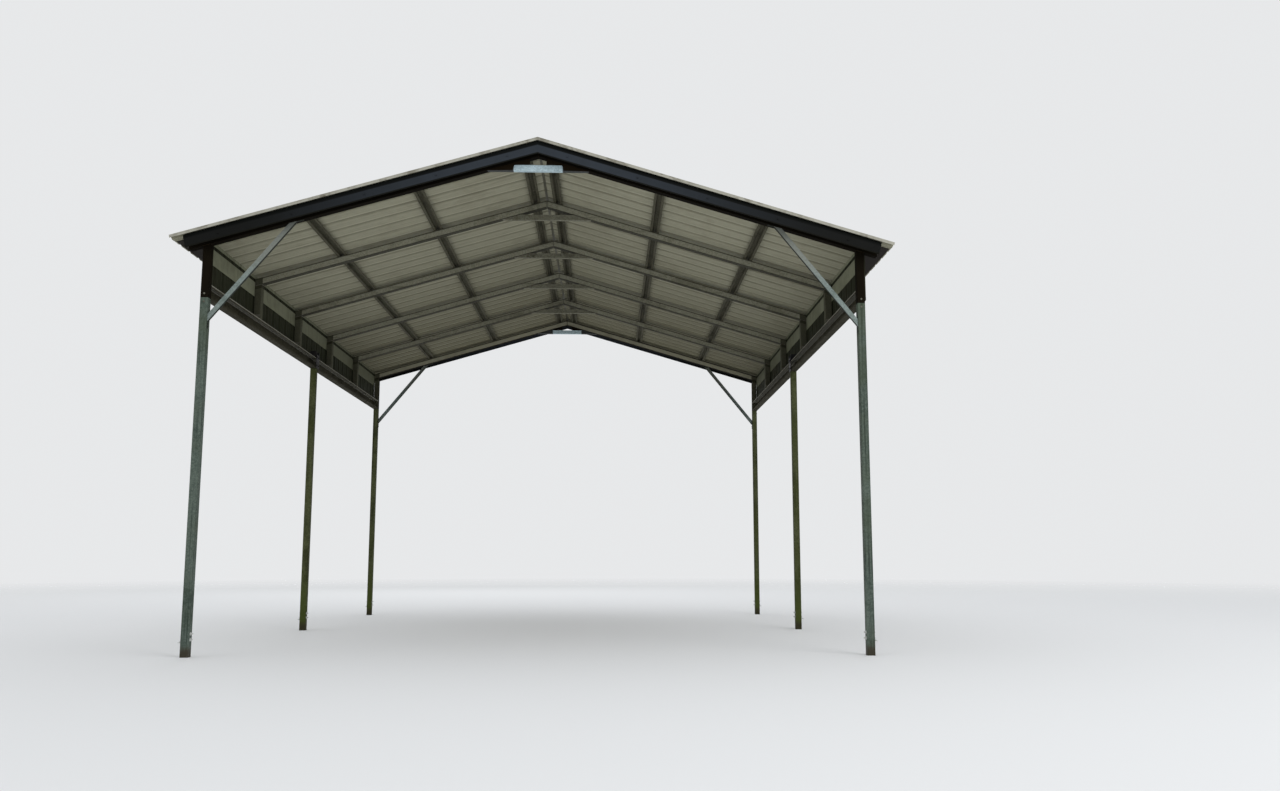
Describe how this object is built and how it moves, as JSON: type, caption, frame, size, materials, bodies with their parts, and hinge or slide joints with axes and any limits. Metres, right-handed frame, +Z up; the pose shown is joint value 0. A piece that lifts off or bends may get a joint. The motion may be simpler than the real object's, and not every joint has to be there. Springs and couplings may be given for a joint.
{
  "type": "carport",
  "caption": "Open-sided carport: gable roof of ribbed sheet on square-tube bows, side header rails, slim posts, knee and peak braces.",
  "frame": {"origin": "on the ground at the middle of the frame, at the level of the lowest foot", "axes": "+X to the right as seen from the front gable, +Y from the front gable to the rear gable along the ridge, +Z up"},
  "size_m": [5.9596, 6.302, 4.2582],
  "materials": {
    "gable_bow_steel": "dark, low sheen",
    "inner_bow_steel": "galvanised, dull",
    "brace_steel": "galvanised, clean",
    "post_steel": "galvanised, spangled",
    "purlin_steel": "galvanised, dull",
    "rail_steel": "galvanised, dull",
    "bracket_steel": "galvanised, dark",
    "roof_sheet": "off-white, satin",
    "ridge_cap": "off-white, satin",
    "rake_trim": "charcoal, satin",
    "side_panel": "charcoal, satin",
    "eave_strip": "off-white, satin"
  },
  "bodies": {
    "root": {"front_bow": "gable_bow_steel", "front_left_knee_brace": "brace_steel", "front_left_post": "post_steel", "front_left_rake_trim": "rake_trim", "front_peak_brace": "brace_steel", "front_right_knee_brace": "brace_steel", "front_right_post": "post_steel", "front_right_rake_trim": "rake_trim", "inner_1_bow": "inner_bow_steel", "inner_1_peak_brace": "brace_steel", "inner_2_bow": "inner_bow_steel", "inner_2_peak_brace": "brace_steel", "inner_3_bow": "inner_bow_steel", "inner_3_peak_brace": "brace_steel", "inner_4_bow": "inner_bow_steel", "inner_4_peak_brace": "brace_steel", "left_eave_strip": "eave_strip", "left_header_rail": "rail_steel", "left_inner_purlin": "purlin_steel", "left_middle_bracket": "bracket_steel", "left_outer_purlin": "purlin_steel", "left_ridge_purlin": "purlin_steel", "left_roof_sheet": "roof_sheet", "left_side_panel": "side_panel", "middle_left_post": "post_steel", "middle_right_post": "post_steel", "rear_bow": "gable_bow_steel", "rear_left_knee_brace": "brace_steel", "rear_left_post": "post_steel", "rear_left_rake_trim": "rake_trim", "rear_peak_brace": "brace_steel", "rear_right_knee_brace": "brace_steel", "rear_right_post": "post_steel", "rear_right_rake_trim": "rake_trim", "ridge_cap": "ridge_cap", "right_eave_strip": "eave_strip", "right_header_rail": "rail_steel", "right_inner_purlin": "purlin_steel", "right_middle_bracket": "bracket_steel", "right_outer_purlin": "purlin_steel", "right_ridge_purlin": "purlin_steel", "right_roof_sheet": "roof_sheet", "right_side_panel": "side_panel"}
  },
  "joints": []
}
